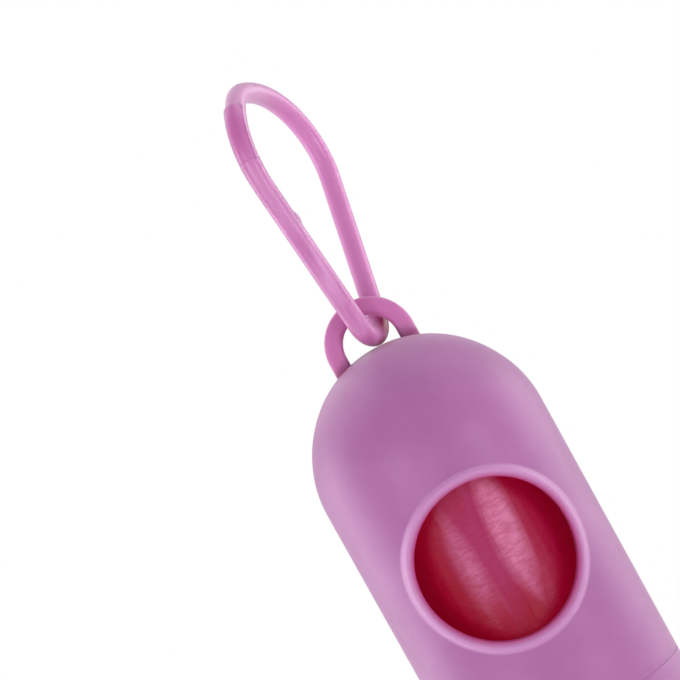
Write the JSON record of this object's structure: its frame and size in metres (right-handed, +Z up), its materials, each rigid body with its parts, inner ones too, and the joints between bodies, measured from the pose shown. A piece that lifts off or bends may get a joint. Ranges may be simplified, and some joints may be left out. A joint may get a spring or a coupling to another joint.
{
  "type": "dog poop bag dispenser",
  "caption": "Capsule dispenser for rolled pet waste bags: domed tube with a round collared window, screw cap, hanging ring and a plastic loop clip.",
  "frame": {"origin": "inside top of the clip's loop, where a leash bears", "axes": "+Z up along the hanging capsule's axis, window facing -Y, ring's plane in XZ; the capsule's axis is 1.2 mm to -X of the origin"},
  "size_m": [0.04, 0.0408, 0.1387],
  "materials": {
    "capsule_plastic": "satin orchid-pink polypropylene",
    "cap_plastic": "satin orchid-pink polypropylene",
    "clip_plastic": "glossy, slightly translucent pink plastic",
    "gate_plastic": "glossy, slightly translucent pink plastic",
    "core_card": "matte brown card",
    "bag_film": "glossy crimson film, wound",
    "lead_film": "glossy crimson film, finely creased"
  },
  "bodies": {
    "clip": {"clip_frame": "clip_plastic"},
    "gate": {"clip_gate": "gate_plastic"},
    "capsule": {"capsule_body": "capsule_plastic"},
    "core": {"roll_core": "core_card"},
    "film": {"bag_roll": "bag_film", "lead_bag": "lead_film"},
    "cap": {"screw_cap": "cap_plastic"}
  },
  "joints": [
    {"name": "gate_flex", "type": "hinge", "parent": "clip", "child": "gate", "pos_m": [-0.0046, -0.00797, -0.02117], "axis": [0.866, -0.5, 0], "range_deg": [0, 20], "stiffness_Nm_per_rad": 0.12},
    {"name": "clip_swing", "type": "hinge", "parent": "clip", "child": "capsule", "pos_m": [-0.0009, 0.00052, -0.0386], "axis": [0.866, -0.5, 0], "range_deg": [-75, 75]},
    {"name": "refill_slide", "type": "slide", "parent": "capsule", "child": "core", "axis": [0, 0, -1], "range_m": [0, 0.062]},
    {"name": "roll_spin", "type": "hinge", "parent": "core", "child": "film", "pos_m": [-0.0012, 0, -0.0933], "axis": [0, 0, 1], "continuous": true},
    {"name": "cap_turn", "type": "hinge", "parent": "core", "child": "cap", "pos_m": [-0.0012, 0, -0.1155], "axis": [0, 0, -1], "range_deg": [0, 450]}
  ]
}
